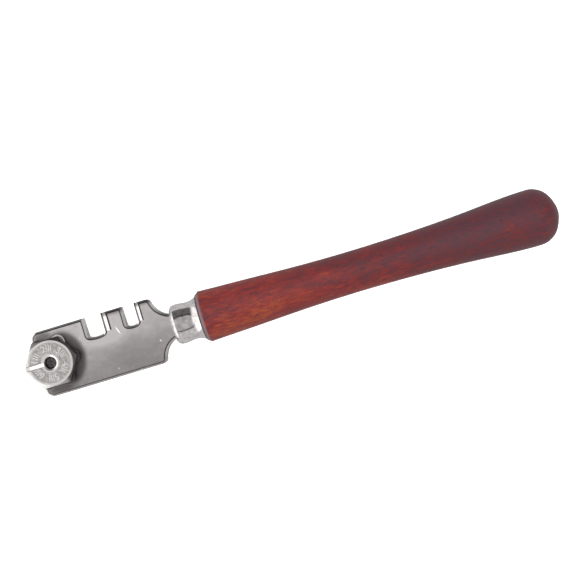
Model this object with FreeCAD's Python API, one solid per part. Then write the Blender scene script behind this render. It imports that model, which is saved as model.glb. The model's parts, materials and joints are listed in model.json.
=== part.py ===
import FreeCAD, Part
import math
import os

# Turret glass cutter: a flat steel head with two breaking notches and a six-wheel turret,
# a drawn ferrule and a turned wooden handle on the head's tang.
#
# Millimetres. The shapes are drawn with X as the distance behind the front of the tool, +Y towards
# the edge with the notches, +Z out of the turret's face, and the tool's long axis at Y = Z = 0.
# The exported parts are then moved so that the origin is under the middle of the tool, level with
# the lowest point of its handle.

# Whole tool
TOOL_LENGTH = 130.0

# Head plate and its tang, one steel stamping. The press rolls its front edges over: each is a
# chamfer this wide and deep, blended into the face by the roll radius.
PLATE_FRONT = 2.4
PLATE_REAR = 31.9
PLATE_WIDTH = 15.7
PLATE_THICKNESS = 3.0
NOSE_BULGE = 0.5
NOSE_CORNER_RADIUS = 1.6
REAR_CORNER_RADIUS = 1.0
EDGE_ROLL_WIDTH = 0.6
EDGE_ROLL_DEPTH = 0.32
EDGE_ROLL_RADIUS = 0.9
BACK_EDGE_RADIUS = 0.3
NECK_WIDTH = 5.4
SHOULDER_RADIUS = 5.3
TANG_END = 74.0
TANG_END_WIDTH = 2.4
TANG_THICKNESS = 2.6
NECK_STEP_LENGTH = 0.3

# Breaking notches in the +Y edge: distance of the front wall, width between the walls, width of the
# bevel that opens the wall nearer the handle
NOTCHES = [
    (15.7, 4.2, 1.7),
    (25.1, 3.0, 1.4),
]
NOTCH_DEPTH = 4.7
NOTCH_BOTTOM_BOW = 0.35
NOTCH_CORNER_RADIUS = 0.6
NOTCH_BEVEL_DEPTH = 0.75
NOTCH_BEVEL_RISE = 0.2

# Turret: hexagonal, one corner forward, with a wheel in a pocket at each corner
STATIONS = 6
FRONT_STATION_ANGLE = 180.0
TURRET_BOTTOM = 1.8
TURRET_TOP = 5.0
TURRET_CORNER_RADIUS = 6.3
TURRET_FACE_RADIUS = 5.2
TURRET_CHAMFER_HEIGHT = 0.55
TURRET_EDGE_RADIUS = 0.25
FACE_RECESS_DEPTH = 0.12
FACE_RECESS_OUTER_RADIUS = 4.75
FACE_RECESS_INNER_RADIUS = 2.15
BORE_BEVEL_WIDTH = 0.35
BORE_BEVEL_DEPTH = 0.2
INDEX_GROOVE_WIDTH = 0.9
INDEX_GROOVE_INNER_DEPTH = 0.1
INDEX_GROOVE_OUTER_DEPTH = 1.25

# Cutting wheels and the axles they roll on
WHEEL_PITCH_RADIUS = 4.75
WHEEL_RADIUS = 1.8
WHEEL_WIDTH = 0.95
WHEEL_FACE_RADIUS = 1.58
WHEEL_CLEARANCE = 0.03
POCKET_RADIUS = 2.05
POCKET_FLOOR = 2.45
POCKET_HEIGHT = 1.1
AXLE_RADIUS = 0.5
AXLE_BOTTOM = 1.85
AXLE_TOP = 3.85

# Pivot screw and the dished spring washer under the turret
SCREW_RADIUS = 1.4
SCREW_CLEARANCE = 0.05
SCREW_TOP = 3.7
SCREW_POINT_CHAMFER = 0.25
SCREW_HEAD_RADIUS = 2.6
SCREW_HEAD_RECESS = 0.05
SCREW_SLOT_WIDTH = 0.8
SCREW_SLOT_DEPTH = 0.6
WASHER_INNER_RADIUS = 1.6
WASHER_OUTER_RADIUS = 3.8
WASHER_THICKNESS = 0.15
WASHER_DISH = 0.1

# Ferrule, drawn from sheet: outside radius at distances from the front of the tool
FERRULE_FRONT = 35.6
FERRULE_REAR = 42.35
FERRULE_OUTLINE = [
    (36.8, 4.74),
    (37.7, 4.78),
    (39.9, 4.54),
    (41.2, 4.72),
    (FERRULE_REAR, 5.3),
]
FERRULE_FRONT_RADIUS = 3.6
FERRULE_WALL = 0.45
FERRULE_MOUTH_RADIUS = 3.15

# Handle, turned from wood: outside radius at distances from the front of the tool. A short chamfer
# leads from the rim to the grip, and the dome at the end is half an ellipse.
HANDLE_FRONT = 42.45
HANDLE_RIM_RADIUS = 5.55
HANDLE_RIM_LENGTH = 0.85
HANDLE_RIM_SLOPE = -0.05
HANDLE_END_RADIUS = 6.8
HANDLE_DOME_LENGTH = 5.6
DOME_STEPS = 4
HANDLE_OUTLINE = [
    (HANDLE_FRONT + HANDLE_RIM_LENGTH, 6.17),
    (54.0, 5.73),
    (68.0, 5.14),
    (82.0, 4.95),
    (95.0, 5.2),
    (109.0, 5.9),
    (TOOL_LENGTH - HANDLE_DOME_LENGTH, HANDLE_END_RADIUS),
]
SPIGOT_FRONT = 36.6
SPIGOT_RADIUS = 4.0

CUT_MARGIN = 1.0
Z_AXIS = FreeCAD.Vector(0, 0, 1)
X_AXIS = FreeCAD.Vector(1, 0, 0)
TURRET_X = WHEEL_PITCH_RADIUS + WHEEL_RADIUS


def point(x, y, z=0.0):
    return FreeCAD.Vector(x, y, z)


def line(start, end):
    return Part.LineSegment(start, end).toShape()


def arc(start, middle, end):
    return Part.Arc(start, middle, end).toShape()


def face_of(edges):
    return Part.Face(Part.Wire(edges))


def turned_about_x(edges):
    return face_of(edges).revolve(point(0, 0), X_AXIS, 360)


def turned_about_turret_axis(corners):
    """Solid of revolution about the turret's axis, from (radius, z) corners."""
    loop = [point(TURRET_X + radius, 0, z) for radius, z in corners]
    profile = Part.Face(Part.makePolygon(loop + loop[:1]))
    return profile.revolve(point(TURRET_X, 0), Z_AXIS, 360)


def turret_cylinder(radius, bottom, top):
    return Part.makeCylinder(radius, top - bottom, point(TURRET_X, 0, bottom))


def station_centre(number, z=0.0):
    """Axis of one wheel: station 1 is at the front, and the rest follow by equal turns."""
    angle = math.radians(FRONT_STATION_ANGLE - (number - 1) * 360.0 / STATIONS)
    x = TURRET_X + WHEEL_PITCH_RADIUS * math.cos(angle)
    y = WHEEL_PITCH_RADIUS * math.sin(angle)
    return point(x, y, z)


def edges_at_height(shape, height):
    return [e for e in shape.Edges if abs(e.BoundBox.ZMin - height) + abs(e.BoundBox.ZMax - height) < 1e-6]


def head_outline():
    """Outline of the head from its nose to the neck, and the distance at which the neck starts."""
    half = PLATE_WIDTH / 2
    neck = NECK_WIDTH / 2
    centre_y = neck + SHOULDER_RADIUS
    rise = centre_y - half
    neck_start = PLATE_REAR + math.sqrt(SHOULDER_RADIUS**2 - rise**2)
    corner_angle = math.atan2(-rise, PLATE_REAR - neck_start)
    middle_angle = (corner_angle - math.pi / 2) / 2
    middle = point(
        neck_start + SHOULDER_RADIUS * math.cos(middle_angle),
        centre_y + SHOULDER_RADIUS * math.sin(middle_angle),
    )
    upper_shoulder = arc(point(PLATE_REAR, half), middle, point(neck_start, neck))
    lower_shoulder = arc(point(neck_start, -neck), point(middle.x, -middle.y), point(PLATE_REAR, -half))
    front_corner = PLATE_FRONT + NOSE_BULGE
    nose = arc(point(front_corner, -half), point(PLATE_FRONT, 0), point(front_corner, half))
    edges = [
        nose,
        line(point(front_corner, half), point(PLATE_REAR, half)),
        upper_shoulder,
        line(point(neck_start, neck), point(neck_start, -neck)),
        lower_shoulder,
        line(point(PLATE_REAR, -half), point(front_corner, -half)),
    ]
    return edges, neck_start


def head_edges_at(shape, height, neck_start):
    """Edges of one flat face, without the one across the neck."""
    return [e for e in edges_at_height(shape, height) if e.BoundBox.XMin < neck_start - 0.01]


def upright_edges_at(shape, x_from, x_to):
    """Vertical corner edges whose distance from the front lies in a range."""
    found = []
    for edge in shape.Edges:
        box = edge.BoundBox
        upright = box.ZLength > PLATE_THICKNESS / 2 and box.XLength < 1e-6
        if upright and x_from <= box.XMin <= x_to:
            found.append(edge)
    return found


def head_blank():
    """The plate without its tang, screw hole and notch bevels, its notches cut and its edges rolled."""
    edges, neck_start = head_outline()
    bottom = -PLATE_THICKNESS / 2
    blank = face_of(edges).extrude(Z_AXIS * PLATE_THICKNESS)
    blank.translate(point(0, 0, bottom))
    nose_corner = PLATE_FRONT + NOSE_BULGE
    blank = blank.makeFillet(NOSE_CORNER_RADIUS, upright_edges_at(blank, nose_corner - 0.01, nose_corner + 0.01))
    blank = blank.makeFillet(REAR_CORNER_RADIUS, upright_edges_at(blank, PLATE_REAR - 0.01, PLATE_REAR + 0.01))
    for front_wall, width, _ in NOTCHES:
        blank = blank.cut(notch_slot(front_wall, width))
    blank = blank.makeChamfer(EDGE_ROLL_DEPTH, EDGE_ROLL_WIDTH, head_edges_at(blank, -bottom, neck_start))
    blank = blank.makeFillet(EDGE_ROLL_RADIUS, head_edges_at(blank, -bottom, neck_start))
    blank = blank.makeFillet(BACK_EDGE_RADIUS, head_edges_at(blank, bottom, neck_start))
    return blank, neck_start


def tang(neck_start):
    """Tapering bar from the neck to its point deep in the handle."""
    neck = NECK_WIDTH / 2
    end = TANG_END_WIDTH / 2
    corners = [
        point(neck_start, -neck),
        point(neck_start, neck),
        point(TANG_END - end, end),
        point(TANG_END, 0),
        point(TANG_END - end, -end),
        point(neck_start, -neck),
    ]
    bar = Part.Face(Part.makePolygon(corners)).extrude(Z_AXIS * TANG_THICKNESS)
    bar.translate(point(0, 0, -TANG_THICKNESS / 2))
    return bar


def neck_relief():
    """Material taken off both faces of the neck, where it is thinned to the tang before the ferrule."""
    start = FERRULE_FRONT - NECK_STEP_LENGTH
    slabs = []
    for side in (-1, 1):
        middle = side * (TANG_THICKNESS / 2 + CUT_MARGIN / 2)
        corner = point(start, -PLATE_WIDTH / 2, middle - CUT_MARGIN / 2)
        slabs.append(Part.makeBox(TANG_END - start, PLATE_WIDTH, CUT_MARGIN, corner))
    return slabs[0].fuse(slabs[1])


def notch_slot(front_wall, width):
    """Slot through the plate with a bowed floor and rounded corners."""
    mouth = PLATE_WIDTH / 2 + CUT_MARGIN
    floor = PLATE_WIDTH / 2 - NOTCH_DEPTH
    rear_wall = front_wall + width
    corners = [point(front_wall, floor), point(rear_wall, floor)]
    bow = arc(corners[1], point(front_wall + width / 2, floor - NOTCH_BOTTOM_BOW), corners[0])
    edges = [
        line(corners[0], point(front_wall, mouth)),
        line(point(front_wall, mouth), point(rear_wall, mouth)),
        line(point(rear_wall, mouth), corners[1]),
        bow,
    ]
    height = PLATE_THICKNESS + 2 * CUT_MARGIN
    slot = face_of(edges).extrude(Z_AXIS * height)
    slot.translate(point(0, 0, -height / 2))
    floor_corners = [e for e in slot.Edges if e.BoundBox.ZLength > height / 2 and e.BoundBox.YMax < floor + 0.01]
    return slot.makeFillet(NOTCH_CORNER_RADIUS, floor_corners)


def notch_bevel(rear_wall, width):
    """Bevel that opens a notch's rear wall on the turret side, from its mouth to its floor."""
    top = PLATE_THICKNESS / 2
    fall = NOTCH_BEVEL_DEPTH / width
    level = PLATE_WIDTH / 2 - NOTCH_DEPTH + NOTCH_BEVEL_RISE
    low = point(rear_wall - CUT_MARGIN, level, top - NOTCH_BEVEL_DEPTH - CUT_MARGIN * fall)
    far = point(rear_wall + width + CUT_MARGIN, level, top + CUT_MARGIN * fall)
    near = point(rear_wall - CUT_MARGIN, level, top + CUT_MARGIN * fall)
    wedge = Part.Face(Part.makePolygon([low, far, near, low]))
    return wedge.extrude(point(0, NOTCH_DEPTH + CUT_MARGIN, 0))


def screw_hole():
    """Countersunk clearance hole for the pivot screw, open at the back of the plate."""
    back = -PLATE_THICKNESS / 2
    hole_radius = SCREW_RADIUS + SCREW_CLEARANCE
    head_radius = SCREW_HEAD_RADIUS + SCREW_CLEARANCE
    corners = [
        (0, back - CUT_MARGIN),
        (head_radius + CUT_MARGIN, back - CUT_MARGIN),
        (hole_radius, back + head_radius - hole_radius),
        (hole_radius, -back + CUT_MARGIN),
        (0, -back + CUT_MARGIN),
    ]
    return turned_about_turret_axis(corners)


def make_head_plate():
    blank, neck_start = head_blank()
    plate = blank.fuse(tang(neck_start))
    for front_wall, width, bevel_width in NOTCHES:
        plate = plate.cut(notch_bevel(front_wall + width, bevel_width))
    return plate.cut(neck_relief()).cut(screw_hole()).removeSplitter()


def make_spring_washer():
    bottom = PLATE_THICKNESS / 2
    corners = [
        (WASHER_INNER_RADIUS, bottom + WASHER_DISH),
        (WASHER_OUTER_RADIUS, bottom),
        (WASHER_OUTER_RADIUS, bottom + WASHER_THICKNESS),
        (WASHER_INNER_RADIUS, bottom + WASHER_DISH + WASHER_THICKNESS),
    ]
    return turned_about_turret_axis(corners)


def make_pivot_screw():
    back = -PLATE_THICKNESS / 2 + SCREW_HEAD_RECESS
    corners = [
        (0, back),
        (SCREW_HEAD_RADIUS - SCREW_HEAD_RECESS, back),
        (SCREW_RADIUS, back + SCREW_HEAD_RADIUS - SCREW_HEAD_RECESS - SCREW_RADIUS),
        (SCREW_RADIUS, SCREW_TOP - SCREW_POINT_CHAMFER),
        (SCREW_RADIUS - SCREW_POINT_CHAMFER, SCREW_TOP),
        (0, SCREW_TOP),
    ]
    slot_length = 2 * (SCREW_HEAD_RADIUS + CUT_MARGIN)
    slot_corner = point(TURRET_X - slot_length / 2, -SCREW_SLOT_WIDTH / 2, back - CUT_MARGIN)
    slot = Part.makeBox(slot_length, SCREW_SLOT_WIDTH, SCREW_SLOT_DEPTH + CUT_MARGIN, slot_corner)
    return turned_about_turret_axis(corners).cut(slot)


def index_groove():
    """Radial groove from the bore to the front corner, its floor falling towards the front."""
    inner = TURRET_X - SCREW_RADIUS
    outer = TURRET_X - TURRET_CORNER_RADIUS - CUT_MARGIN
    fall = (INDEX_GROOVE_OUTER_DEPTH - INDEX_GROOVE_INNER_DEPTH) / (TURRET_CORNER_RADIUS - SCREW_RADIUS)
    side = -INDEX_GROOVE_WIDTH / 2
    section = [
        point(inner, side, TURRET_TOP - INDEX_GROOVE_INNER_DEPTH),
        point(outer, side, TURRET_TOP - INDEX_GROOVE_OUTER_DEPTH - fall * CUT_MARGIN),
        point(outer, side, TURRET_TOP + CUT_MARGIN),
        point(inner, side, TURRET_TOP + CUT_MARGIN),
    ]
    return Part.Face(Part.makePolygon(section + section[:1])).extrude(point(0, INDEX_GROOVE_WIDTH, 0))


def turret_envelope():
    """The round face and the chamfer that runs down from it to the hexagon's corners."""
    shoulder = TURRET_TOP - TURRET_CHAMFER_HEIGHT
    corners = [
        (0, TURRET_BOTTOM),
        (TURRET_CORNER_RADIUS, TURRET_BOTTOM),
        (TURRET_CORNER_RADIUS, shoulder),
        (TURRET_FACE_RADIUS, TURRET_TOP),
        (0, TURRET_TOP),
    ]
    return turned_about_turret_axis(corners)


def make_turret():
    corners = []
    for number in range(STATIONS + 1):
        angle = math.radians(FRONT_STATION_ANGLE + number * 360.0 / STATIONS)
        x = TURRET_X + TURRET_CORNER_RADIUS * math.cos(angle)
        corners.append(point(x, TURRET_CORNER_RADIUS * math.sin(angle), TURRET_BOTTOM))
    height = TURRET_TOP - TURRET_BOTTOM
    prism = Part.Face(Part.makePolygon(corners)).extrude(Z_AXIS * height)
    prism = prism.makeFillet(TURRET_EDGE_RADIUS, [e for e in prism.Edges if e.BoundBox.ZLength > height / 2])
    turret = prism.common(turret_envelope())

    recess_floor = TURRET_TOP - FACE_RECESS_DEPTH
    recess = turret_cylinder(FACE_RECESS_OUTER_RADIUS, recess_floor, TURRET_TOP + CUT_MARGIN)
    boss = turret_cylinder(FACE_RECESS_INNER_RADIUS, recess_floor - CUT_MARGIN, TURRET_TOP + 2 * CUT_MARGIN)
    turret = turret.cut(recess.cut(boss))

    bore_radius = SCREW_RADIUS + SCREW_CLEARANCE
    bore = turned_about_turret_axis(
        [
            (0, TURRET_BOTTOM - CUT_MARGIN),
            (bore_radius, TURRET_BOTTOM - CUT_MARGIN),
            (bore_radius, TURRET_TOP - BORE_BEVEL_DEPTH),
            (bore_radius + BORE_BEVEL_WIDTH, TURRET_TOP),
            (bore_radius + BORE_BEVEL_WIDTH, TURRET_TOP + CUT_MARGIN),
            (0, TURRET_TOP + CUT_MARGIN),
        ]
    )
    turret = turret.cut(bore).cut(index_groove())
    for number in range(1, STATIONS + 1):
        pocket = Part.makeCylinder(POCKET_RADIUS, POCKET_HEIGHT, station_centre(number, POCKET_FLOOR))
        axle_hole_bottom = TURRET_BOTTOM - CUT_MARGIN
        axle_hole = Part.makeCylinder(
            AXLE_RADIUS, AXLE_TOP - axle_hole_bottom, station_centre(number, axle_hole_bottom)
        )
        turret = turret.cut(pocket).cut(axle_hole)
    return turret


def make_wheel_axle(number):
    return Part.makeCylinder(AXLE_RADIUS, AXLE_TOP - AXLE_BOTTOM, station_centre(number, AXLE_BOTTOM))


def make_cutting_wheel(number):
    """Hardened wheel with a V edge and a running bore."""
    middle = POCKET_FLOOR + POCKET_HEIGHT / 2
    half = WHEEL_WIDTH / 2
    centre = station_centre(number)
    bore = AXLE_RADIUS + WHEEL_CLEARANCE
    corners = [
        point(centre.x + bore, centre.y, middle - half),
        point(centre.x + WHEEL_FACE_RADIUS, centre.y, middle - half),
        point(centre.x + WHEEL_RADIUS, centre.y, middle),
        point(centre.x + WHEEL_FACE_RADIUS, centre.y, middle + half),
        point(centre.x + bore, centre.y, middle + half),
    ]
    profile = Part.Face(Part.makePolygon(corners + corners[:1]))
    return profile.revolve(centre, Z_AXIS, 360)


def ferrule_skin(inset):
    """Solid inside the ferrule's outline, moved in by an inset, closed at both ends."""
    rear = FERRULE_REAR + (CUT_MARGIN if inset else 0.0)
    front = FERRULE_FRONT + inset
    stations = [point(x, radius - inset) for x, radius in FERRULE_OUTLINE]
    lip_start = point(front, FERRULE_FRONT_RADIUS)
    bead_start = stations[0]
    lip_middle = point(
        front + (bead_start.x - front) * (1 - math.sqrt(0.5)),
        lip_start.y + (bead_start.y - lip_start.y) * math.sqrt(0.5),
    )
    side = Part.BSplineCurve()
    side.interpolate(stations)
    last = stations[-1]
    edges = [
        line(point(front, 0), lip_start),
        arc(lip_start, lip_middle, bead_start),
        side.toShape(),
    ]
    if inset:
        edges.append(line(last, point(rear, last.y)))
    edges.append(line(point(rear, last.y), point(rear, 0)))
    edges.append(line(point(rear, 0), point(front, 0)))
    return turned_about_x(edges)


def make_ferrule():
    shell = ferrule_skin(0.0).cut(ferrule_skin(FERRULE_WALL))
    mouth = Part.makeCylinder(
        FERRULE_MOUTH_RADIUS, FERRULE_WALL + 2 * CUT_MARGIN, point(FERRULE_FRONT - CUT_MARGIN, 0), X_AXIS
    )
    return shell.cut(mouth)


def make_handle(head_plate):
    """Turned grip with a spigot for the ferrule, hollowed to take the tang."""
    rim_end = point(*HANDLE_OUTLINE[0])
    dome_start = point(*HANDLE_OUTLINE[-1])
    side = Part.BSplineCurve()
    side.interpolate(
        Points=[point(x, radius) for x, radius in HANDLE_OUTLINE],
        InitialTangent=point(1, HANDLE_RIM_SLOPE),
        FinalTangent=X_AXIS,
    )
    end = point(TOOL_LENGTH, 0)
    dome_points = []
    for step in range(DOME_STEPS + 1):
        angle = math.pi / 2 * step / DOME_STEPS
        reach = HANDLE_DOME_LENGTH * math.sin(angle)
        dome_points.append(point(dome_start.x + reach, HANDLE_END_RADIUS * math.cos(angle)))
    dome = Part.BSplineCurve()
    dome.interpolate(Points=dome_points, InitialTangent=X_AXIS, FinalTangent=point(0, -1))
    edges = [
        line(point(SPIGOT_FRONT, 0), point(SPIGOT_FRONT, SPIGOT_RADIUS)),
        line(point(SPIGOT_FRONT, SPIGOT_RADIUS), point(HANDLE_FRONT, SPIGOT_RADIUS)),
        line(point(HANDLE_FRONT, SPIGOT_RADIUS), point(HANDLE_FRONT, HANDLE_RIM_RADIUS)),
        line(point(HANDLE_FRONT, HANDLE_RIM_RADIUS), rim_end),
        side.toShape(),
        dome.toShape(),
        line(end, point(SPIGOT_FRONT, 0)),
    ]
    return turned_about_x(edges).cut(head_plate)


def save(name, shape):
    placed = shape.copy()
    placed.translate(point(-TOOL_LENGTH / 2, 0, HANDLE_END_RADIUS))
    if not placed.isValid() or len(placed.Solids) != 1:
        raise ValueError(name + " is not one valid solid")
    placed.Solids[0].exportStep("parts/" + name + ".step")
    print(name, round(placed.Volume, 3))


os.makedirs("parts", exist_ok=True)
head_plate = make_head_plate()
save("head_plate", head_plate)
save("handle", make_handle(head_plate))
save("ferrule", make_ferrule())
save("spring_washer", make_spring_washer())
save("pivot_screw", make_pivot_screw())
save("turret", make_turret())
for station in range(1, STATIONS + 1):
    save("cutting_wheel_" + str(station), make_cutting_wheel(station))
    save("wheel_axle_" + str(station), make_wheel_axle(station))
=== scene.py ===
import json
import math

import bpy
from mathutils import Matrix, Vector


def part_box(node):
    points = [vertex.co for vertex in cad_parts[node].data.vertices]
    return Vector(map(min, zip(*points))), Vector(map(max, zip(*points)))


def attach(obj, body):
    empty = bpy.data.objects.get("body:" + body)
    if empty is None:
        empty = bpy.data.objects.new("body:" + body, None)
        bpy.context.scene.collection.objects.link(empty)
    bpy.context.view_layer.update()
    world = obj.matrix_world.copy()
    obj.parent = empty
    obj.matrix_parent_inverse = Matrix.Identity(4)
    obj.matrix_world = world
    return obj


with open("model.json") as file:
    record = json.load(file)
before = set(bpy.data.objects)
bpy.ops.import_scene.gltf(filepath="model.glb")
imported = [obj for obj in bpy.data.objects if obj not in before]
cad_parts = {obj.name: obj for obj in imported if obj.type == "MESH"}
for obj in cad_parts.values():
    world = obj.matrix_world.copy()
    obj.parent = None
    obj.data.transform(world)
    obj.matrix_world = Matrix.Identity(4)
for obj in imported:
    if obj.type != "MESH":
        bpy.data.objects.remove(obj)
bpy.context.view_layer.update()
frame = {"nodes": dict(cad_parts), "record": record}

MM = 0.001

# Places on the part in metres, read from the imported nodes
TURRET_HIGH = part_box("turret")[1]
SCREW_LOW, SCREW_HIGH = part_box("pivot_screw")
HANDLE_LOW, HANDLE_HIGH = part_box("handle")
PLATE_LOW, PLATE_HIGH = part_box("head_plate")
AXIS_Z = (HANDLE_LOW.z + HANDLE_HIGH.z) / 2
TURRET_X = (SCREW_LOW.x + SCREW_HIGH.x) / 2
TURRET_Y = (SCREW_LOW.y + SCREW_HIGH.y) / 2

# The same places in millimetres, for the materials
PIVOT_X = TURRET_X / MM
PIVOT_Y = TURRET_Y / MM
TURRET_FACE = TURRET_HIGH.z / MM
PLATE_TOP = PLATE_HIGH.z / MM
PLAIN_EDGE = PLATE_LOW.y / MM
NOTCHED_EDGE = PLATE_HIGH.y / MM
SPIGOT_FRONT = HANDLE_LOW.x / MM
HANDLE_END = HANDLE_HIGH.x / MM

# Camera: looking straight down, turned so that the tool lies uphill to the right
CAMERA_HEIGHT = 0.200
CAMERA_OFFSET_X = -0.00065
CAMERA_OFFSET_Y = 0.00017
CAMERA_LENS = 52.5
CAMERA_SENSOR = 36.0
CAMERA_CLIP = 0.01
TOOL_SLOPE = 16.75

# What is painted on the part is placed in millimetres of the part's own frame. A spot has a centre, and a
# reach to each side of it along X, Y and Z. A pair of levels is where a soft edge starts and ends, and a band
# has such a pair at each side. Colours are linear.

# How much a face's normal points along Z or towards the front
SHALLOW_SLOPE = (0.5, 0.8)
LEVEL_ONLY = (0.98, 0.995)
TILTED_FORWARD = (-0.30, -0.20)

# Plate: tones from dull to bright, painted light that brightens towards the notched edge, a painted sheen
# beside the notches and a pale scratch
PLATE_TONES = [
    (0.15, (0.44, 0.41, 0.41)),
    (0.42, (0.61, 0.57, 0.57)),
    (0.75, (0.92, 0.88, 0.88)),
]
CLOUD_SHARE = 0.55
MOTTLE_SHARE = 0.22
LIGHT_AT_PLAIN_EDGE = -0.14
LIGHT_AT_NOTCHED_EDGE = 0.36
SHEEN_CENTRE = (-45.5, 3.6, 8.3)
SHEEN_REACH = (8.0, 5.5, 2.0)
SHEEN_STRENGTH = 0.50
SPECK_LEVELS = (0.72, 0.78)
SPECK_STRENGTH = 0.6
SPECK_GREY = 0.92
SCRATCH_GREY = 0.96
SCRATCH_CENTRE = (-42.05, 2.75, 8.3)
SCRATCH_REACH = (1.35, 0.19, 1.0)
SCRATCH_TURN = -68.0

# Plate: painted shade with some dirt round the turret, wider towards the handle; dark patches at the nose;
# dirt along the notched edge
PLATE_SHADE_AND_DIRT_COLOUR = (0.085, 0.068, 0.068, 1.0)
TURRET_SHADE_STRENGTH = 0.74
TURRET_SHADE_INNER = 5.4
TURRET_SHADE_OUTER = 6.9
TURRET_SHADE_SPREAD = 1.4
TURRET_SHADE_SPREAD_ALONG = (PIVOT_X - 1.0, PIVOT_X + 5.0)
DARKENING_HEIGHTS = (PLATE_TOP - 1.6, PLATE_TOP - 0.8)
NOSE_DARK_PATCHES = [
    ((-59.6, 6.3, 8.3), (3.6, 1.6, 1.0)),
    ((-58.4, -6.5, 8.3), (5.2, 1.3, 1.0)),
]
NOSE_PATCH_STRENGTH = 0.72
EDGE_DIRT_STRENGTH = 0.75
EDGE_DIRT_ALONG = (-48.0, -44.0)
EDGE_DIRT_ACROSS = (NOTCHED_EDGE - 1.5, NOTCHED_EDGE - 0.5)

# Plate: painted dark reflection where the top face rolls over, weaker on the plain edge
ROLL_REFLECTION_COLOUR = (0.050, 0.041, 0.041, 1.0)
ROLL_STRENGTH = 0.92
ROLL_STRENGTH_PLAIN = 0.62
ROLL_BAND = (PLATE_TOP - 0.14, PLATE_TOP - 0.08, PLATE_TOP - 0.03, PLATE_TOP - 0.002)
ROLL_BY_PLAIN_EDGE = (PLAIN_EDGE + 0.3, PLAIN_EDGE + 1.2)

# Plate: painted shade at the top and at the foot of the notch bevels
BEVEL_SHADE_COLOUR = (0.016, 0.013, 0.013, 1.0)
BEVELS_ALONG = (-51.0, -50.0)
BEVEL_TOP = (PLATE_TOP - 0.22, PLATE_TOP - 0.16)
BEVEL_TOP_SHADE = 0.97
BEVEL_FOOT = (PLATE_TOP - 0.60, PLATE_TOP - 0.46)
BEVEL_FOOT_SHADE = 0.88

# Turret: darker patches in the recess of the face; painted shade outside the face and along the groove
FACE_RIM = (5.15, 5.35)
OUTSIDE_GREY = 0.45
OUTSIDE_DULLNESS = 0.75
RECESS_DARK_COLOUR = (0.24, 0.20, 0.19, 1.0)
RECESS_RIM = (4.70, 4.80)
RECESS_FLOOR = (TURRET_FACE - 0.11, TURRET_FACE - 0.05)
SIDE_SHADE_COLOUR = (0.105, 0.088, 0.088, 1.0)
HANDLE_SIDE = (PIVOT_X + 2.4, PIVOT_X + 3.4)
HANDLE_SIDE_SHADE = 0.88
NOTCH_SIDE = (PIVOT_Y + 3.6, PIVOT_Y + 4.8)
NOTCH_SIDE_SHADE = 0.80
WALL_TOP = (TURRET_FACE - 1.2, TURRET_FACE - 0.6)
WALL_SHADE = 0.75
GROOVE_SHADE_COLOUR = (0.11, 0.09, 0.09, 1.0)
GROOVE_SHADE_BAND = (0.44, 0.46, 0.52, 0.64)
GROOVE_END = (PIVOT_X - 2.0, PIVOT_X - 1.6)
GROOVE_SHADE_STRENGTH = 0.8

# Bright wheels: the front one, wiped bright from use, and the second one after it, painted bright as a
# highlight
BRIGHT_WHEELS = [(-63.2, 0.0, 9.8), (-56.1, 4.1, 9.8)]
BRIGHT_WHEEL_REACH = (2.6, 2.6, 2.0)
BRIGHT_WHEEL_CORE = 0.8

# Screw: black, and worn brown
SCREW_TONES = [
    (0.35, (0.020, 0.018, 0.019)),
    (0.62, (0.10, 0.088, 0.090)),
]

# Ferrule: clouded and clear nickel
CLOUDED_NICKEL = (0.54, 0.505, 0.505, 1.0)
CLEAR_NICKEL = (0.84, 0.805, 0.80, 1.0)

# Handle: tones from dark to bright, with two painted highlights, one painted shadow and painted light on the
# plain side
WOOD_TONES = [
    (0.32, (0.062, 0.020, 0.028)),
    (0.47, (0.096, 0.015, 0.017)),
    (0.62, (0.174, 0.016, 0.013)),
    (0.78, (0.262, 0.048, 0.016)),
]
DARK_STREAK_COLOUR = (0.046, 0.018, 0.027, 1.0)
DARK_STREAK_LEVELS = (0.48, 0.64)
DARK_STREAK_STRENGTH = 0.50
PORE_COLOUR = (0.016, 0.008, 0.010, 1.0)
PORE_LEVELS = (0.60, 0.68)
PORE_STRENGTH = 0.5
GRAIN_TILT = -2.0
GRAIN_SWAY_Y = 4.0
GRAIN_SWAY_Z = 3.0
STREAK_SHARE = 0.75
BLOTCH_SHARE = 0.42
DARKER_ALONG = (SPIGOT_FRONT + 6.0, HANDLE_END)
DARKER_AT_END = 0.23
PAINTED_LIGHT_ACROSS = (-5.0, 2.0)
PAINTED_LIGHT_ON_PLAIN_SIDE = 0.05
GLOW_CENTRE = (-6.0, -2.5, 12.0)
GLOW_REACH = (26.0, 4.0, 6.0)
GLOW_STRENGTH = 0.08
LOW_GLOW_CENTRE = (20.0, -4.6, 8.0)
LOW_GLOW_REACH = (17.0, 2.8, 7.0)
LOW_GLOW_STRENGTH = 0.13
SHADOW_CENTRE = (38.0, 1.0, 12.0)
SHADOW_REACH = (20.0, 5.0, 6.0)
SHADOW_STRENGTH = 0.08

# Handle: end grain at the back; at the front, where the wood meets the ferrule, a painted highlight on the
# rim and a painted shadow line in the gap
END_GRAIN_COLOUR = (0.012, 0.007, 0.008, 1.0)
END_GRAIN_ALONG = (HANDLE_END - 1.3, HANDLE_END)
END_GRAIN_STRENGTH = 0.75
RIM_FRONT = -22.55
RIM_HIGHLIGHT_COLOUR = (0.175, 0.118, 0.132, 1.0)
RIM_HIGHLIGHT_END = (RIM_FRONT + 0.6, RIM_FRONT + 1.1)
RIM_HIGHLIGHT_STRENGTH = 0.8
GAP_SHADOW_COLOUR = (0.012, 0.008, 0.011, 1.0)
GAP_SHADOW_END = (RIM_FRONT + 0.12, RIM_FRONT + 0.32)
GAP_SHADOW_STRENGTH = 0.9

# Light table under the tool
FLOOR_HALF = 4.0
TABLE_GLOW = 0.5
TABLE_GREYS = (0.87, 0.90)
MIRRORED_TABLE_GREY = 0.42

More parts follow.
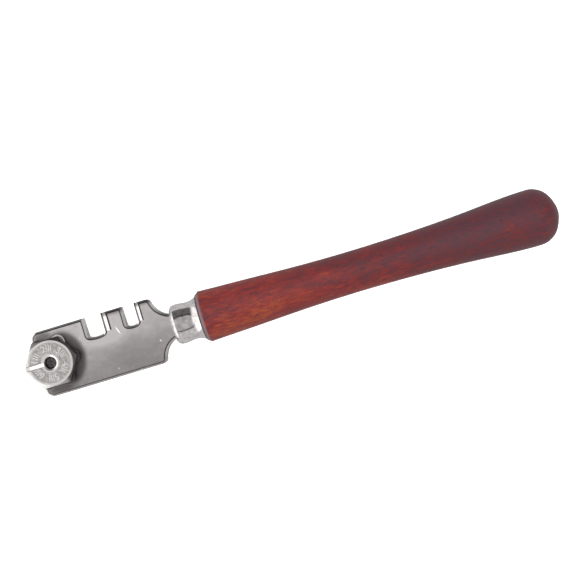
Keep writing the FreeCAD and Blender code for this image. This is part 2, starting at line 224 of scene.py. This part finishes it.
# Studio that the metal mirrors: where each zone starts and ends in the direction's X, Y or Z, and its level
WORLD_COLOUR = (1.0, 0.995, 0.99, 1.0)
OVERHEAD_Z = (0.75, 0.84)
OVERHEAD_LEVEL = 0.55
RING_Z = (0.66, 0.70, 0.75, 0.79)
RING_DARKNESS = 0.85
PLAIN_TO_NOTCHED_Y = (-0.45, -0.05)
PLAIN_SIDE_LEVEL = 0.66
NOTCH_SIDE_LEVEL = 0.145
PAST_TURRET_X = (-0.66, -0.36)
PAST_TURRET_LEVEL = 1.25
PAST_HANDLE_X = (0.30, 0.60)
PAST_HANDLE_LEVEL = 0.32

# Station marks on the turret's face
STATIONS = 6
FRONT_STATION_ANGLE = 180.0
RECESS_DEPTH = 0.12 * MM
MARK_SINK = 0.02 * MM
NUMERAL_HEIGHT = 1.55 * MM
NUMERAL_SHARE_OF_SIZE = 0.7
NUMERAL_RADIUS = 3.45 * MM
NUMERAL_OFFSET = -19.0
NUMERAL_BEVEL = 0.05 * MM
TICK_OFFSETS = (12.0, 20.0, 28.0)
TICK_INNER_RADIUS = 2.8 * MM
TICK_OUTER_RADIUS = 4.2 * MM
TICK_WIDTH = 0.22 * MM
TICK_TOP_SHARE = 0.6


# ---------------------------------------------------------------- material graphs


class Graph:
    """Short calls for building the nodes of one material or of the world."""

    def __init__(self, owner):
        owner.use_nodes = True
        self.tree = owner.node_tree
        self.tree.nodes.clear()

    def add(self, kind, inputs=None, **settings):
        node = self.tree.nodes.new("ShaderNode" + kind)
        for name, value in settings.items():
            setattr(node, name, value)
        for name, value in (inputs or {}).items():
            self.feed(node.inputs[name], value)
        return node

    def feed(self, socket, value):
        if isinstance(value, bpy.types.NodeSocket):
            self.tree.links.new(value, socket)
        else:
            socket.default_value = value

    def math(self, operation, first, second=0.0):
        return self.add("Math", {0: first, 1: second}, operation=operation).outputs[0]

    def plus(self, first, second):
        return self.math("ADD", first, second)

    def minus(self, first, second):
        return self.math("SUBTRACT", first, second)

    def times(self, first, second):
        return self.math("MULTIPLY", first, second)

    def larger(self, first, second):
        return self.math("MAXIMUM", first, second)

    def vector(self, operation, first, second):
        return self.add("VectorMath", {0: first, 1: second}, operation=operation).outputs[0]

    def length(self, vector):
        return self.add("VectorMath", {0: vector}, operation="LENGTH").outputs["Value"]

    def split(self, vector):
        return self.add("SeparateXYZ", {0: vector}).outputs

    def range(self, value, low, high, out_low=0.0, out_high=1.0):
        """Goes smoothly from out_low to out_high while the value goes from low to high."""
        inputs = {"Value": value, "From Min": low, "From Max": high, "To Min": out_low, "To Max": out_high}
        return self.add("MapRange", inputs, interpolation_type="SMOOTHSTEP").outputs["Result"]

    def band(self, value, start, full_start, full_end, end):
        """1 from full_start to full_end, and 0 before the start and after the end."""
        return self.times(self.range(value, start, full_start), self.range(value, full_end, end, 1.0, 0.0))

    def varied(self, noise, base, amount):
        """The base level plus the given amount of the noise."""
        return self.plus(self.times(noise, amount), base)

    def mix(self, factor, first, second):
        node = self.add("Mix", {0: factor}, data_type="RGBA")
        self.feed(node.inputs[6], first)
        self.feed(node.inputs[7], second)
        return node.outputs[2]

    def ramp(self, value, stops):
        node = self.add("ValToRGB", {"Fac": value})
        elements = node.color_ramp.elements
        while len(elements) < len(stops):
            elements.new(1.0)
        for element, (position, colour) in zip(elements, stops):
            element.position = position
            element.color = (*colour, 1.0)
        return node.outputs["Color"]

    def millimetres(self):
        """The part's own coordinates in millimetres, which stay with the piece when it moves."""
        source = self.add("TexCoord").outputs["Object"]
        return self.add("VectorMath", {0: source, "Scale": 1 / MM}, operation="SCALE").outputs[0]

    def turned(self, place, degrees, centre=(0.0, 0.0, 0.0)):
        """The place turned about the centre, in the XY plane."""
        inputs = {"Vector": place, "Center": centre, "Angle": math.radians(degrees)}
        return self.add("VectorRotate", inputs, rotation_type="Z_AXIS").outputs[0]

    def noise(self, place, per_mm, detail, roughness=0.5):
        """Noise whose scale along X, Y and Z is given in cycles per millimetre."""
        scaled = self.vector("MULTIPLY", place, per_mm)
        inputs = {"Vector": scaled, "Scale": 1.0, "Detail": detail, "Roughness": roughness}
        return self.add("TexNoise", inputs).outputs["Fac"]

    def spot(self, place, centre, reach, turn=0.0, core=0.3):
        """Soft ellipsoid: 1 up to the core's share of its reach, 0 outside; turned about its own centre."""
        offset = self.vector("SUBTRACT", self.turned(place, -turn, centre), centre)
        distance = self.length(self.vector("DIVIDE", offset, reach))
        return self.range(distance, core, 1.0, 1.0, 0.0)

    def flatness(self, low, high):
        """1 on faces square to the part's own Z, 0 on walls and rolled edges."""
        normal = self.add("TexCoord").outputs["Normal"]
        upright = self.math("ABSOLUTE", self.split(normal)["Z"])
        return self.range(upright, low, high)

    def facing_front(self):
        """1 on faces turned or tilted towards the turret's end of the tool, 0 elsewhere."""
        normal = self.add("TexCoord").outputs["Normal"]
        return self.range(self.split(normal)["X"], *TILTED_FORWARD, 1.0, 0.0)

    def bump(self, height, distance_mm, strength):
        inputs = {"Height": height, "Distance": distance_mm * MM, "Strength": strength}
        return self.add("Bump", inputs).outputs["Normal"]

    def surface(self, **inputs):
        """Ends the material with one principled shader; names are the shader's own, with _ for a space."""
        shader = self.add("BsdfPrincipled")
        for name, value in inputs.items():
            self.feed(shader.inputs[name.replace("_", " ")], value)
        output = self.add("OutputMaterial")
        self.tree.links.new(shader.outputs[0], output.inputs["Surface"])


def new_material(name):
    material = bpy.data.materials.new(name)
    return material, Graph(material)


def grey(value, warmth=0.0):
    return (value * (1 + warmth), value, value * (1 - warmth), 1.0)


# ---------------------------------------------------------------- head plate


def radius_about_turret(graph, place):
    """Distance from the turret's axis, in millimetres."""
    offset = graph.vector("SUBTRACT", place, (PIVOT_X, PIVOT_Y, 0.0))
    return graph.length(graph.vector("MULTIPLY", offset, (1.0, 1.0, 0.0)))


def plate_tone(graph, place, mottle):
    """Cloudy grey, with painted light brighter towards the notched edge and a painted sheen, brightest,
    beside the notches.
    """
    across = graph.split(place)["Y"]
    cloud = graph.noise(place, (0.10, 0.16, 0.16), detail=3.0, roughness=0.55)
    shade = graph.plus(graph.times(cloud, CLOUD_SHARE), graph.times(mottle, MOTTLE_SHARE))
    # Painted light: brighter towards the notched edge
    painted_light = graph.range(across, PLAIN_EDGE, NOTCHED_EDGE, LIGHT_AT_PLAIN_EDGE, LIGHT_AT_NOTCHED_EDGE)
    shade = graph.plus(shade, painted_light)
    # Painted sheen: a soft painted highlight beside the notches
    sheen = graph.spot(place, SHEEN_CENTRE, SHEEN_REACH, core=0.0)
    shade = graph.plus(shade, graph.times(sheen, SHEEN_STRENGTH))
    return graph.ramp(shade, PLATE_TONES)


def plate_grime(graph, place):
    """Darkening on the upper part of the plate: painted shade with some dirt round the turret, dark patches
    at the nose, dirt along the notched edge.
    """
    along, across, height = graph.split(place)
    spread = graph.range(along, *TURRET_SHADE_SPREAD_ALONG, 0.0, TURRET_SHADE_SPREAD)
    nearness = graph.minus(radius_about_turret(graph, place), spread)
    # Painted shade, with some dirt, round the turret's foot, wider towards the handle
    shade_and_dirt = graph.range(nearness, TURRET_SHADE_INNER, TURRET_SHADE_OUTER, TURRET_SHADE_STRENGTH, 0.0)
    # Darker patches at the nose, either side of the turret
    for centre, reach in NOSE_DARK_PATCHES:
        nose_patch = graph.times(graph.spot(place, centre, reach), NOSE_PATCH_STRENGTH)
        shade_and_dirt = graph.larger(shade_and_dirt, nose_patch)
    at_edge = graph.range(across, *EDGE_DIRT_ACROSS, 0.0, EDGE_DIRT_STRENGTH)
    at_notches = graph.range(along, *EDGE_DIRT_ALONG)
    shade_and_dirt = graph.larger(shade_and_dirt, graph.times(at_edge, at_notches))
    return graph.times(shade_and_dirt, graph.range(height, *DARKENING_HEIGHTS))


def roll_line(graph, across, height):
    """Painted dark reflection: a thin band just below the top face."""
    strength = graph.range(across, *ROLL_BY_PLAIN_EDGE, ROLL_STRENGTH_PLAIN, ROLL_STRENGTH)
    return graph.times(graph.band(height, *ROLL_BAND), strength)


def bevel_dirt(graph, along, height):
    """Painted shade: bands at the top and at the foot of the notch bevels."""
    bevel = graph.times(graph.facing_front(), graph.flatness(*SHALLOW_SLOPE))
    bevel = graph.times(bevel, graph.range(along, *BEVELS_ALONG))
    at_top = graph.range(height, *BEVEL_TOP, 0.0, BEVEL_TOP_SHADE)
    at_foot = graph.range(height, *BEVEL_FOOT, BEVEL_FOOT_SHADE, 0.0)
    return graph.times(bevel, graph.larger(at_top, at_foot))


def plated_steel(name):
    """Satin nickel plate over stamped steel: cloudy tone with painted light and a painted sheen, pale specks,
    a scratch, painted shade round the turret, dark nose patches, dirt, and painted dark lines at the edges.
    """
    material, graph = new_material(name)
    place = graph.millimetres()
    along, across, height = graph.split(place)
    mottle = graph.noise(place, (0.8, 1.0, 1.0), detail=4.0, roughness=0.6)
    grain = graph.noise(place, (3.0, 3.0, 3.0), detail=3.0, roughness=0.7)
    speck = graph.noise(place, (1.1, 1.1, 1.1), detail=1.0)

    colour = plate_tone(graph, place, mottle)
    light_speck = graph.range(speck, *SPECK_LEVELS, 0.0, SPECK_STRENGTH)
    colour = graph.mix(light_speck, colour, grey(SPECK_GREY))
    scratch = graph.spot(place, SCRATCH_CENTRE, SCRATCH_REACH, turn=SCRATCH_TURN)
    colour = graph.mix(scratch, colour, grey(SCRATCH_GREY))
    shade_and_dirt = plate_grime(graph, place)
    # Painted shade round the turret, dark nose patches and dirt by the notches
    colour = graph.mix(shade_and_dirt, colour, PLATE_SHADE_AND_DIRT_COLOUR)
    # Painted dark reflection where the top face rolls over
    colour = graph.mix(roll_line(graph, across, height), colour, ROLL_REFLECTION_COLOUR)
    # Painted shade lines on the notch bevels
    colour = graph.mix(bevel_dirt(graph, along, height), colour, BEVEL_SHADE_COLOUR)

    gloss = graph.varied(mottle, base=0.18, amount=0.12)
    gloss = graph.plus(gloss, graph.times(shade_and_dirt, 0.2))
    gloss = graph.plus(gloss, graph.times(scratch, 0.3))
    relief = graph.plus(graph.times(grain, 0.35), graph.times(scratch, 1.6))
    scuffed = graph.larger(scratch, light_speck)
    graph.surface(
        Base_Color=colour,
        Metallic=graph.minus(1.0, graph.times(scuffed, 0.45)),
        Roughness=gloss,
        Normal=graph.bump(relief, distance_mm=0.008, strength=0.35),
    )
    return material


# ---------------------------------------------------------------- turret, wheels and screw


def recess_grime(graph, radius, height, mottle):
    """Darker patches on the floor of the recess."""
    sunk = graph.range(height, *RECESS_FLOOR, 1.0, 0.0)
    sunk = graph.times(sunk, graph.flatness(*LEVEL_ONLY))
    inside = graph.range(radius, *RECESS_RIM, 1.0, 0.0)
    patches = graph.range(mottle, 0.30, 0.62, 0.10, 0.62)
    return graph.times(graph.times(sunk, inside), patches)


def side_grime(graph, place, outside):
    """Painted shade outside the face: towards the handle and the notched edge, and low on the walls all
    round.
    """
    along, across, height = graph.split(place)
    handle_side = graph.range(along, *HANDLE_SIDE, 0.0, HANDLE_SIDE_SHADE)
    notch_side = graph.range(across, *NOTCH_SIDE, 0.0, NOTCH_SIDE_SHADE)
    walls = graph.range(height, *WALL_TOP, WALL_SHADE, 0.0)
    walls = graph.times(walls, graph.minus(1.0, graph.flatness(*SHALLOW_SLOPE)))
    return graph.times(outside, graph.larger(graph.larger(handle_side, notch_side), walls))


def groove_dirt(graph, along, across):
    """Painted shade: a thin dark line along each edge of the groove, in front of the axis."""
    off_groove = graph.math("ABSOLUTE", graph.minus(across, PIVOT_Y))
    in_front = graph.range(along, *GROOVE_END, GROOVE_SHADE_STRENGTH, 0.0)
    return graph.times(graph.band(off_groove, *GROOVE_SHADE_BAND), in_front)


def turret_steel(name):
    """Bright plated steel, duller outside the face, darker in patches in the recess, with painted shade on
    the sides and by the groove.
    """
    material, graph = new_material(name)
    place = graph.millimetres()
    along, across, height = graph.split(place)
    radius = radius_about_turret(graph, place)
    mottle = graph.noise(place, (1.6, 1.6, 1.6), detail=4.0, roughness=0.65)
    grain = graph.noise(place, (5.0, 5.0, 5.0), detail=3.0, roughness=0.7)

    colour = graph.mix(mottle, grey(0.84, warmth=0.02), grey(1.0, warmth=0.02))
    colour = graph.mix(recess_grime(graph, radius, height, mottle), colour, RECESS_DARK_COLOUR)
    outside = graph.range(radius, *FACE_RIM)
    colour = graph.mix(graph.times(outside, OUTSIDE_DULLNESS), colour, grey(OUTSIDE_GREY, warmth=0.02))
    # Painted shade on the turret's sides and low on its walls
    colour = graph.mix(side_grime(graph, place, outside), colour, SIDE_SHADE_COLOUR)
    # Painted shade along the groove's edges
    colour = graph.mix(groove_dirt(graph, along, across), colour, GROOVE_SHADE_COLOUR)

    gloss = graph.varied(mottle, base=0.20, amount=0.2)
    relief = graph.bump(grain, distance_mm=0.02, strength=0.8)
    graph.surface(Base_Color=colour, Metallic=1.0, Roughness=gloss, Normal=relief)
    return material


def ground_steel(name, tone, roughness):
    """Hard steel with turning marks round each small part."""
    material, graph = new_material(name)
    place = graph.millimetres()
    mottle = graph.noise(place, (2.5, 2.5, 2.5), detail=3.0)
    rings = graph.noise(place, (0.8, 0.8, 14.0), detail=2.0)
    colour = graph.mix(mottle, grey(tone * 0.75, warmth=0.01), grey(tone * 1.15, warmth=0.01))
    gloss = graph.varied(mottle, base=roughness - 0.07, amount=0.15)
    relief = graph.bump(rings, distance_mm=0.01, strength=0.5)
    graph.surface(Base_Color=colour, Metallic=1.0, Roughness=gloss, Normal=relief)
    return material


def used_wheel_steel(name):
    """Hard ground steel: wiped bright on the front wheel, which is in use, painted bright as a highlight on
    the second one after it, and dark on the others.
    """
    material, graph = new_material(name)
    place = graph.millimetres()
    mottle = graph.noise(place, (2.5, 2.5, 2.5), detail=3.0)
    dark_steel = graph.mix(mottle, grey(0.08, warmth=0.02), grey(0.16, warmth=0.02))
    ground = graph.mix(mottle, grey(0.62, warmth=0.01), grey(0.85, warmth=0.01))
    bright_spot = 0.0
    # Bright spots: the front wheel, wiped from use, and a painted highlight on the wheel at the upper right
    for centre in BRIGHT_WHEELS:
        bright_spot = graph.larger(bright_spot, graph.spot(place, centre, BRIGHT_WHEEL_REACH, core=BRIGHT_WHEEL_CORE))
    colour = graph.mix(bright_spot, dark_steel, ground)
    gloss = graph.minus(0.52, graph.times(bright_spot, 0.26))
    relief = graph.bump(mottle, distance_mm=0.01, strength=0.4)
    graph.surface(Base_Color=colour, Metallic=1.0, Roughness=gloss, Normal=relief)
    return material


def blackened_steel(name):
    """Oil-blackened steel, worn brown in places."""
    material, graph = new_material(name)
    place = graph.millimetres()
    mottle = graph.noise(place, (1.8, 1.8, 1.8), detail=5.0, roughness=0.65)
    grain = graph.noise(place, (8.0, 8.0, 8.0), detail=2.0)
    colour = graph.ramp(mottle, SCREW_TONES)
    gloss = graph.varied(mottle, base=0.35, amount=0.3)
    relief = graph.bump(grain, distance_mm=0.02, strength=0.6)
    graph.surface(Base_Color=colour, Metallic=0.6, Roughness=gloss, Normal=relief)
    return material


# ---------------------------------------------------------------- ferrule and handle


def polished_nickel(name):
    """Bright drawn nickel, clouded by handling, with fine marks round it."""
    material, graph = new_material(name)
    place = graph.millimetres()
    mottle = graph.noise(place, (0.9, 0.9, 0.9), detail=4.0, roughness=0.65)
    hair = graph.noise(place, (5.0, 0.5, 0.5), detail=2.0)
    colour = graph.mix(graph.range(mottle, 0.30, 0.70), CLOUDED_NICKEL, CLEAR_NICKEL)
    gloss = graph.varied(mottle, base=0.07, amount=0.16)
    marks = graph.varied(hair, base=mottle, amount=0.5)
    relief = graph.bump(marks, distance_mm=0.02, strength=0.35)
    graph.surface(Base_Color=colour, Metallic=1.0, Roughness=gloss, Normal=relief)
    return material


def wood_grain(graph, place):
    """Coordinates that follow the grain, a little tilted and swaying."""
    wander = graph.noise(place, (0.03, 0.05, 0.05), detail=2.0)
    sideways = graph.times(wander, GRAIN_SWAY_Y)
    upwards = graph.times(wander, GRAIN_SWAY_Z)
    sway = graph.add("CombineXYZ", {"Y": sideways, "Z": upwards}).outputs[0]
    return graph.vector("ADD", graph.turned(place, GRAIN_TILT), sway)


def wood_tone(graph, place, grain):
    """Streaks and blotches, darker towards the handle's end, with painted highlights, a painted shadow and
    painted light on the plain side.
    """
    distance, side, _ = graph.split(place)
    blotch = graph.noise(grain, (0.11, 0.24, 0.24), detail=4.0, roughness=0.65)
    streak = graph.noise(grain, (0.32, 1.6, 1.6), detail=5.0, roughness=0.72)
    tone = graph.plus(graph.times(streak, STREAK_SHARE), graph.times(blotch, BLOTCH_SHARE))
    tone = graph.minus(tone, graph.range(distance, *DARKER_ALONG, 0.0, DARKER_AT_END))
    # Painted highlights on the wood
    glow = graph.spot(place, GLOW_CENTRE, GLOW_REACH, core=0.0)
    tone = graph.plus(tone, graph.times(glow, GLOW_STRENGTH))
    low_glow = graph.spot(place, LOW_GLOW_CENTRE, LOW_GLOW_REACH, core=0.0)
    tone = graph.plus(tone, graph.times(low_glow, LOW_GLOW_STRENGTH))
    # Painted light: lighter on the plain edge's side
    tone = graph.plus(tone, graph.range(side, *PAINTED_LIGHT_ACROSS, PAINTED_LIGHT_ON_PLAIN_SIDE, 0.0))
    # Painted shadow on the wood
    shadow = graph.spot(place, SHADOW_CENTRE, SHADOW_REACH, core=0.0)
    return graph.minus(tone, graph.times(shadow, SHADOW_STRENGTH))


def handle_ends(graph, place, colour):
    """Adds the end grain, the painted highlight on the rim and the painted shadow in the gap at the ferrule
    to the wood's colour.
    """
    distance = graph.split(place)["X"]
    end_grain = graph.range(distance, *END_GRAIN_ALONG, 0.0, END_GRAIN_STRENGTH)
    colour = graph.mix(end_grain, colour, END_GRAIN_COLOUR)
    # Painted highlight on the front rim
    rim = graph.range(distance, *RIM_HIGHLIGHT_END, RIM_HIGHLIGHT_STRENGTH, 0.0)
    colour = graph.mix(rim, colour, RIM_HIGHLIGHT_COLOUR)
    # Painted shadow in the gap at the ferrule
    line = graph.range(distance, *GAP_SHADOW_END, GAP_SHADOW_STRENGTH, 0.0)
    return graph.mix(line, colour, GAP_SHADOW_COLOUR)


def lacquered_wood(name):
    """Red-stained hardwood under lacquer: blotchy staining, broken streaks, short dark pores along the grain.
    """
    material, graph = new_material(name)
    place = graph.millimetres()
    grain = wood_grain(graph, place)
    fine = graph.noise(grain, (0.70, 3.2, 3.2), detail=3.0, roughness=0.65)
    pores = graph.noise(grain, (0.80, 5.0, 5.0), detail=2.0, roughness=0.5)

    colour = graph.ramp(wood_tone(graph, place, grain), WOOD_TONES)
    dark_streak = graph.range(fine, *DARK_STREAK_LEVELS, 0.0, DARK_STREAK_STRENGTH)
    colour = graph.mix(dark_streak, colour, DARK_STREAK_COLOUR)
    pore_mask = graph.range(pores, *PORE_LEVELS, 0.0, PORE_STRENGTH)
    colour = graph.mix(pore_mask, colour, PORE_COLOUR)
    colour = handle_ends(graph, place, colour)

    relief = graph.plus(graph.times(fine, 0.4), graph.times(pore_mask, -0.8))
    gloss = graph.varied(fine, base=0.40, amount=0.18)
    graph.surface(
        Base_Color=colour,
        Roughness=gloss,
        Normal=graph.bump(relief, distance_mm=0.03, strength=0.5),
        Specular_IOR_Level=0.30,
        Coat_Weight=0.08,
        Coat_Roughness=0.28,
    )
    return material


# ---------------------------------------------------------------- materials of the CAD nodes


def finish_cad_nodes():
    """Gives every CAD node the material of its slot in the record."""
    by_slot = {
        "plate_steel": plated_steel("plate_satin_nickel"),
        "turret_steel": turret_steel("turret_satin_nickel"),
        "ferrule_nickel": polished_nickel("ferrule_polished_nickel"),
        "handle_wood": lacquered_wood("handle_red_lacquer"),
        "spring_steel": ground_steel("washer_spring_steel", tone=0.38, roughness=0.42),
        "screw_black": blackened_steel("screw_blackened"),
        "wheel_steel": used_wheel_steel("wheel_ground_steel"),
        "axle_steel": ground_steel("axle_plain_steel", tone=0.45, roughness=0.35),
    }
    for subpart in frame["record"]["subparts"]:
        node = frame["nodes"][subpart["node"]]
        for slot in node.material_slots:
            slot.material = by_slot[subpart["material_slot"]]
    return by_slot


# ---------------------------------------------------------------- station marks


def turret_spot(angle, radius, z):
    """Matrix that puts a mark on the turret's face, its top pointing away from the axis."""
    turn = math.radians(angle)
    place = Vector((TURRET_X + radius * math.cos(turn), TURRET_Y + radius * math.sin(turn), z))
    return Matrix.Translation(place) @ Matrix.Rotation(turn - math.pi / 2, 4, "Z")


def add_piece(name, mesh, material, body):
    piece = bpy.data.objects.new(name, mesh)
    bpy.context.scene.collection.objects.link(piece)
    mesh.materials.clear()
    mesh.materials.append(material)
    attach(piece, body)


def numeral_mesh(number):
    """Raised numeral, centred on its own origin, from Blender's built-in face."""
    curve = bpy.data.curves.new("numeral", "FONT")
    curve.body = str(number)
    curve.size = NUMERAL_HEIGHT / NUMERAL_SHARE_OF_SIZE
    curve.align_x = "CENTER"
    curve.align_y = "CENTER"
    curve.extrude = (RECESS_DEPTH + MARK_SINK) / 2
    curve.bevel_depth = NUMERAL_BEVEL
    curve.bevel_resolution = 2
    curve.resolution_u = 6
    holder = bpy.data.objects.new("numeral", curve)
    bpy.context.scene.collection.objects.link(holder)
    bpy.context.view_layer.update()
    mesh = bpy.data.meshes.new_from_object(holder.evaluated_get(bpy.context.evaluated_depsgraph_get()))
    bpy.data.objects.remove(holder)
    bpy.data.curves.remove(curve)
    return mesh


def tick_mesh():
    """Short raised bar with sloping top edges, along its own Y."""
    half_width = TICK_WIDTH / 2
    half_length = (TICK_OUTER_RADIUS - TICK_INNER_RADIUS) / 2
    half_height = (RECESS_DEPTH + MARK_SINK) / 2
    section = [
        (-half_width, -half_height),
        (half_width, -half_height),
        (half_width, half_height * TICK_TOP_SHARE),
        (half_width * TICK_TOP_SHARE, half_height),
        (-half_width * TICK_TOP_SHARE, half_height),
        (-half_width, half_height * TICK_TOP_SHARE),
    ]
    vertices = [(x, side * half_length, z) for side in (-1, 1) for x, z in section]
    count = len(section)
    faces = [tuple(range(count)), tuple(range(2 * count - 1, count - 1, -1))]
    for i in range(count):
        following = (i + 1) % count
        faces.append((i, i + count, following + count, following))
    mesh = bpy.data.meshes.new("tick")
    mesh.from_pydata(vertices, [], faces)
    mesh.validate()
    return mesh


def station_marks(material):
    """Numerals 1 to 6 and three graduation bars after each station, standing in the face's recess."""
    level = TURRET_HIGH.z - RECESS_DEPTH / 2 - MARK_SINK / 2
    middle = (TICK_INNER_RADIUS + TICK_OUTER_RADIUS) / 2
    for number in range(1, STATIONS + 1):
        station = FRONT_STATION_ANGLE - (number - 1) * 360.0 / STATIONS
        mesh = numeral_mesh(number)
        mesh.transform(turret_spot(station + NUMERAL_OFFSET, NUMERAL_RADIUS, level))
        add_piece(f"station_numeral_{number}", mesh, material, "turret")
        for index, offset in enumerate(TICK_OFFSETS):
            bar = tick_mesh()
            bar.transform(turret_spot(station + offset, middle, level))
            add_piece(f"station_tick_{number}_{index + 1}", bar, material, "turret")


# ---------------------------------------------------------------- stage, light and camera


def floor_material(name):
    """Pale light table: it glows towards the camera, and is dimmer where the tool reflects it."""
    material, graph = new_material(name)
    place = graph.millimetres()
    speckle = graph.noise(place, (0.05, 0.05, 0.05), detail=3.0)
    seen = graph.add("LightPath").outputs["Is Camera Ray"]
    darker, lighter = TABLE_GREYS
    pale = graph.mix(speckle, grey(darker), grey(lighter))
    graph.surface(
        Base_Color=graph.mix(seen, grey(MIRRORED_TABLE_GREY), pale),
        Roughness=0.9,
        Specular_IOR_Level=0.1,
        Emission_Color=grey(1.0),
        Emission_Strength=graph.times(seen, TABLE_GLOW),
    )
    return material


def add_floor():
    corners = [
        (-FLOOR_HALF, -FLOOR_HALF, 0.0),
        (FLOOR_HALF, -FLOOR_HALF, 0.0),
        (FLOOR_HALF, FLOOR_HALF, 0.0),
        (-FLOOR_HALF, FLOOR_HALF, 0.0),
    ]
    mesh = bpy.data.meshes.new("floor")
    mesh.from_pydata(corners, [], [(0, 1, 2, 3)])
    mesh.materials.append(floor_material("floor_pale"))
    floor = bpy.data.objects.new("floor", mesh)
    bpy.context.scene.collection.objects.link(floor)


def zone_level(graph):
    """Grey overhead, a dark ring below it, soft white on the plain edge's side and dark past the notches.

    It is much brighter past the turret and a little brighter past the handle.
    """
    direction = graph.add("TexCoord").outputs["Generated"]
    x, y, z = graph.split(direction)
    sides = graph.range(y, *PLAIN_TO_NOTCHED_Y, PLAIN_SIDE_LEVEL, NOTCH_SIDE_LEVEL)
    ring = graph.band(z, *RING_Z)
    sides = graph.times(sides, graph.minus(1.0, graph.times(ring, RING_DARKNESS)))
    overhead = graph.range(z, *OVERHEAD_Z)
    level = graph.plus(graph.times(overhead, OVERHEAD_LEVEL), graph.times(sides, graph.minus(1.0, overhead)))
    level = graph.plus(level, graph.range(x, *PAST_TURRET_X, PAST_TURRET_LEVEL, 0.0))
    return graph.plus(level, graph.range(x, *PAST_HANDLE_X, 0.0, PAST_HANDLE_LEVEL))


def studio_world():
    """Plain white to the camera, and the zones to everything else."""
    world = bpy.data.worlds.new("studio")
    bpy.context.scene.world = world
    graph = Graph(world)
    seen = graph.add("LightPath").outputs["Is Camera Ray"]
    strength = graph.plus(graph.times(zone_level(graph), graph.minus(1.0, seen)), seen)
    background = graph.add("Background", {"Color": WORLD_COLOUR, "Strength": strength})
    output = graph.add("OutputWorld")
    graph.tree.links.new(background.outputs[0], output.inputs["Surface"])


def add_softbox(name, place, size, power):
    """Square light aimed at the tool, which doesn't show in the metal."""
    light = bpy.data.lights.new(name, "AREA")
    light.shape = "SQUARE"
    light.size = size
    light.energy = power
    holder = bpy.data.objects.new(name, light)
    holder.location = place
    aim = Vector((0.0, 0.0, 0.0)) - Vector(place)
    holder.rotation_euler = aim.to_track_quat("-Z", "Y").to_euler()
    holder.visible_glossy = False
    bpy.context.scene.collection.objects.link(holder)


def add_lights():
    add_softbox("top_softbox", place=(0.0, 0.10, 1.0), size=1.4, power=14.0)
    add_softbox("far_fill", place=(0.15, 0.90, 0.35), size=0.8, power=3.0)


def add_camera():
    camera = bpy.data.cameras.new("camera")
    camera.lens = CAMERA_LENS
    camera.sensor_width = CAMERA_SENSOR
    camera.clip_start = CAMERA_CLIP
    holder = bpy.data.objects.new("camera", camera)
    holder.location = (CAMERA_OFFSET_X, CAMERA_OFFSET_Y, AXIS_Z + CAMERA_HEIGHT)
    holder.rotation_euler = (0.0, 0.0, math.radians(-TOOL_SLOPE))
    bpy.context.scene.collection.objects.link(holder)
    bpy.context.scene.camera = holder


bpy.context.scene.view_settings.view_transform = "Standard"
add_camera()
materials = finish_cad_nodes()
station_marks(materials["turret_steel"])
add_floor()
studio_world()
add_lights()
